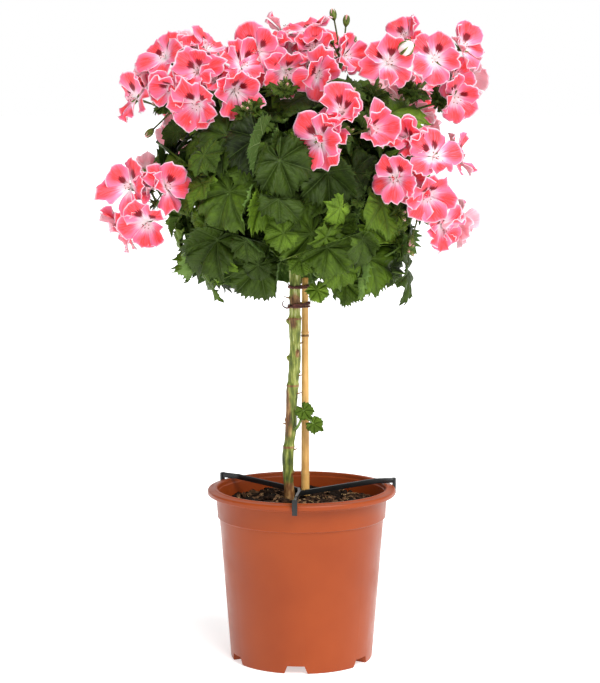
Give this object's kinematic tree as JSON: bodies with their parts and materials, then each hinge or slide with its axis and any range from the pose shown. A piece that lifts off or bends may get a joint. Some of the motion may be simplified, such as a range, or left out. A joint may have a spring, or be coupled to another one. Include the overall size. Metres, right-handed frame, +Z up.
{
  "type": "potted regal geranium",
  "caption": "Regal geranium grown as a standard: a bare stem with a round leafy head and ruffled two-tone blooms, tied to a cane in a tapered nursery pot.",
  "frame": {"origin": "middle of the pot's floor, on its underside, where the plant stands", "axes": "+Z up along the stem, -Y towards the side that shows its face, +X to that side's right"},
  "size_m": [0.373, 0.3139, 0.6519],
  "materials": {
    "pot_plastic": "satin",
    "potting_soil": "damp and crumbly",
    "stem_bark": "smooth green bark",
    "bamboo": "smooth",
    "black_plastic": "satin",
    "tie": "matte",
    "leaf": "soft and slightly hairy",
    "petal": "soft and matte"
  },
  "bodies": {
    "root": {"pot": "pot_plastic", "soil": "potting_soil", "trunk": "stem_bark", "cane": "bamboo", "stem_brace": "black_plastic", "lower_tie": "tie", "upper_tie": "tie", "side_shoot": "leaf", "leafy_stem_1": "leaf", "flower_head_1": "petal", "flower_head_1_bloom_1": "petal", "flower_head_1_bloom_2": "petal", "leafy_stem_2": "leaf", "flower_head_2": "petal", "flower_head_2_bloom_1": "petal", "flower_head_2_bloom_2": "petal", "flower_head_2_bloom_3": "petal", "flower_head_2_bloom_4": "petal", "flower_head_2_bloom_5": "petal", "leafy_stem_3": "leaf", "flower_head_3": "petal", "flower_head_3_bloom_1": "petal", "flower_head_3_bloom_2": "petal", "leafy_stem_4": "leaf", "flower_head_4": "petal", "flower_head_4_bloom_1": "petal", "flower_head_4_bloom_2": "petal", "flower_head_4_bloom_3": "petal", "flower_head_4_bloom_4": "petal", "leafy_stem_5": "leaf", "flower_head_5": "petal", "leafy_stem_6": "leaf", "flower_head_6": "petal", "flower_head_6_bloom_1": "petal", "flower_head_6_bloom_2": "petal", "leafy_stem_7": "leaf", "flower_head_7": "petal", "leafy_stem_8": "leaf", "flower_head_8": "petal", "leafy_stem_9": "leaf", "flower_head_9": "petal", "leafy_stem_10": "leaf", "flower_head_10": "petal", "flower_head_10_bloom_1": "petal", "flower_head_10_bloom_2": "petal", "leafy_stem_11": "leaf", "leafy_stem_12": "leaf", "leafy_stem_13": "leaf", "leafy_stem_14": "leaf", "leafy_stem_15": "leaf", "leafy_stem_16": "leaf", "leafy_stem_17": "leaf", "leafy_stem_18": "leaf"}
  },
  "joints": []
}
